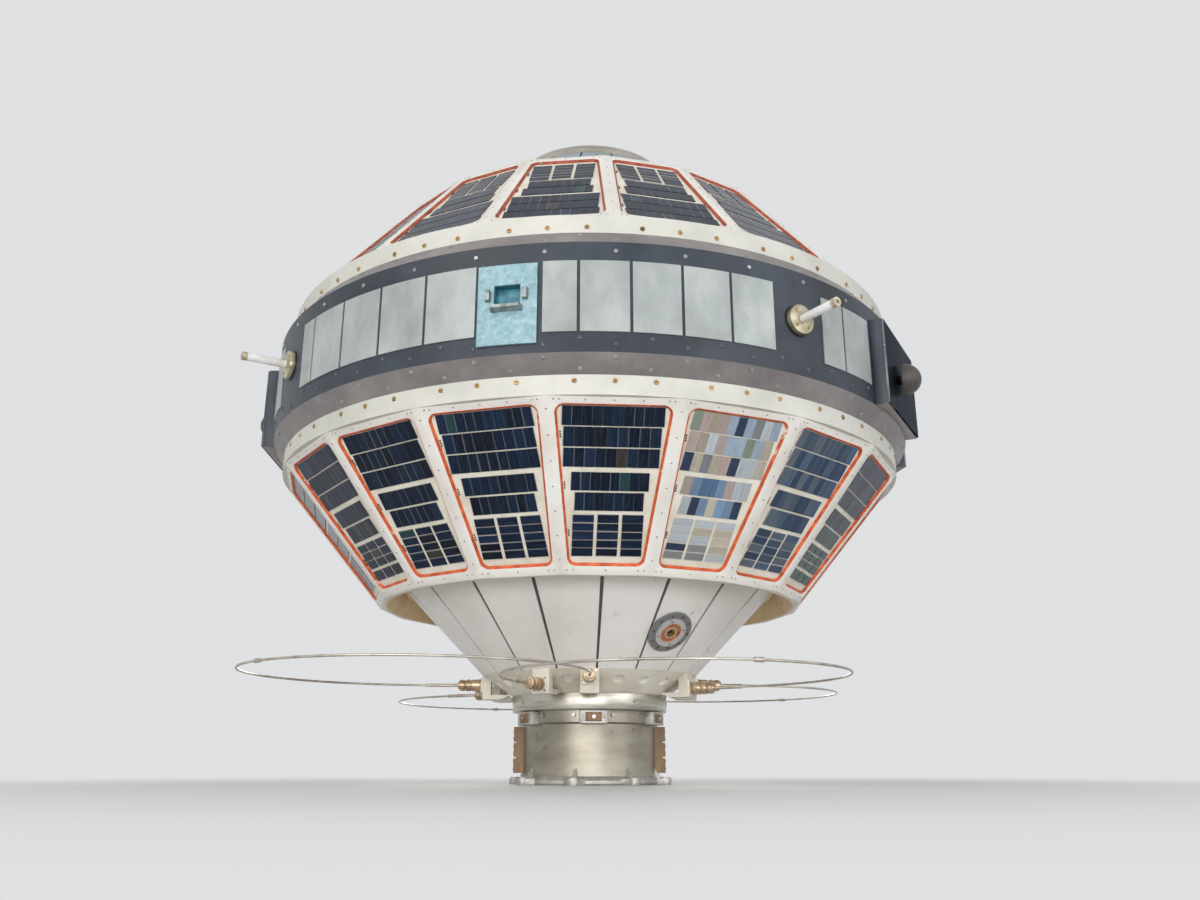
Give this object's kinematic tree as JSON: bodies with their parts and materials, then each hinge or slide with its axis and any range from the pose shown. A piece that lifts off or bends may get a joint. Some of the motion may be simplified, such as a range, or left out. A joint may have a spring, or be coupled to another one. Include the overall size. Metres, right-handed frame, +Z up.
{
  "type": "satellite",
  "caption": "Spin-stabilised research satellite: two faceted solar cones joined by a sensor band, with looped wire antennas and a launcher adapter below.",
  "frame": {"origin": "on the body axis, at the underside of the adapter rim", "axes": "+Z up along the body axis, -Y toward the side that the picture shows"},
  "size_m": [0.8041, 0.7942, 0.765],
  "materials": {
    "cast_aluminium": "cast, bright edge",
    "bare_aluminium": "turned, stained",
    "plated_metal": "plated",
    "phenolic": "brown laminate",
    "cream_paint": "satin paint",
    "bronze": "gold plate, worn",
    "wire": "bright wire",
    "dark_seam": "dark filler",
    "pale_skin": "pale satin",
    "grey_skin": "grey satin",
    "grey_flange": "satin",
    "copper": "copper colour",
    "tan_laminate": "glass laminate",
    "white_paint": "white paint on laminate",
    "cream_board": "bare board",
    "orange_sealant": "sealant bead",
    "solar_cell": "coated silicon",
    "brown_grey_paint": "satin paint",
    "slate_paint": "satin paint",
    "pale_plate": "satin paint",
    "blue_paint": "hammered paint",
    "white_rod": "white plastic",
    "mirror": "scratched mirror",
    "black_dome": "matt black"
  },
  "bodies": {
    "root": {"adapter_rim": "cast_aluminium", "adapter_tube": "bare_aluminium", "adapter_neck": "bare_aluminium", "adapter_bulkhead": "bare_aluminium", "adapter_collar": "bare_aluminium", "latch_saddles": "bare_aluminium", "latch_blocks": "phenolic", "terminal_strip_left": "phenolic", "terminal_strip_right": "phenolic", "inner_plug": "plated_metal", "inner_socket": "plated_metal", "antenna_ring": "cream_paint", "antenna_bases": "cream_paint", "antenna_feeds": "bronze", "antenna_loop_left": "wire", "antenna_loop_right": "wire", "antenna_loop_front": "wire", "antenna_loop_rear": "wire", "lower_cone_core": "dark_seam", "lower_cone_skins": "pale_skin", "lower_detector_flange": "grey_flange", "lower_detector_ring": "copper", "lower_detector_core": "bronze", "upper_cone_core": "dark_seam", "upper_cone_skins": "grey_skin", "upper_detector_flange": "grey_flange", "upper_detector_ring": "copper", "upper_detector_core": "bronze", "lower_edge_ring": "tan_laminate", "upper_edge_ring": "tan_laminate", "lower_frame": "white_paint", "upper_frame": "white_paint", "lower_boards": "cream_board", "upper_boards": "cream_board", "lower_seals": "orange_sealant", "upper_seals": "orange_sealant", "lower_cells": "solar_cell", "upper_cells": "solar_cell", "lower_flange_ring": "white_paint", "upper_flange_ring": "white_paint", "lower_chamfer_ring": "brown_grey_paint", "upper_chamfer_ring": "brown_grey_paint", "band_drum": "slate_paint", "band_plates": "pale_plate", "sensor_plate": "blue_paint", "sensor_hood": "plated_metal", "rod_caps": "bronze", "rod_bases": "plated_metal", "rods": "white_rod", "sensor_boxes": "slate_paint", "sensor_mirrors": "mirror", "sensor_domes": "black_dome", "band_wedge": "white_rod", "top_rim": "bare_aluminium", "top_plate": "bare_aluminium", "instrument_column": "bare_aluminium"}
  },
  "joints": []
}
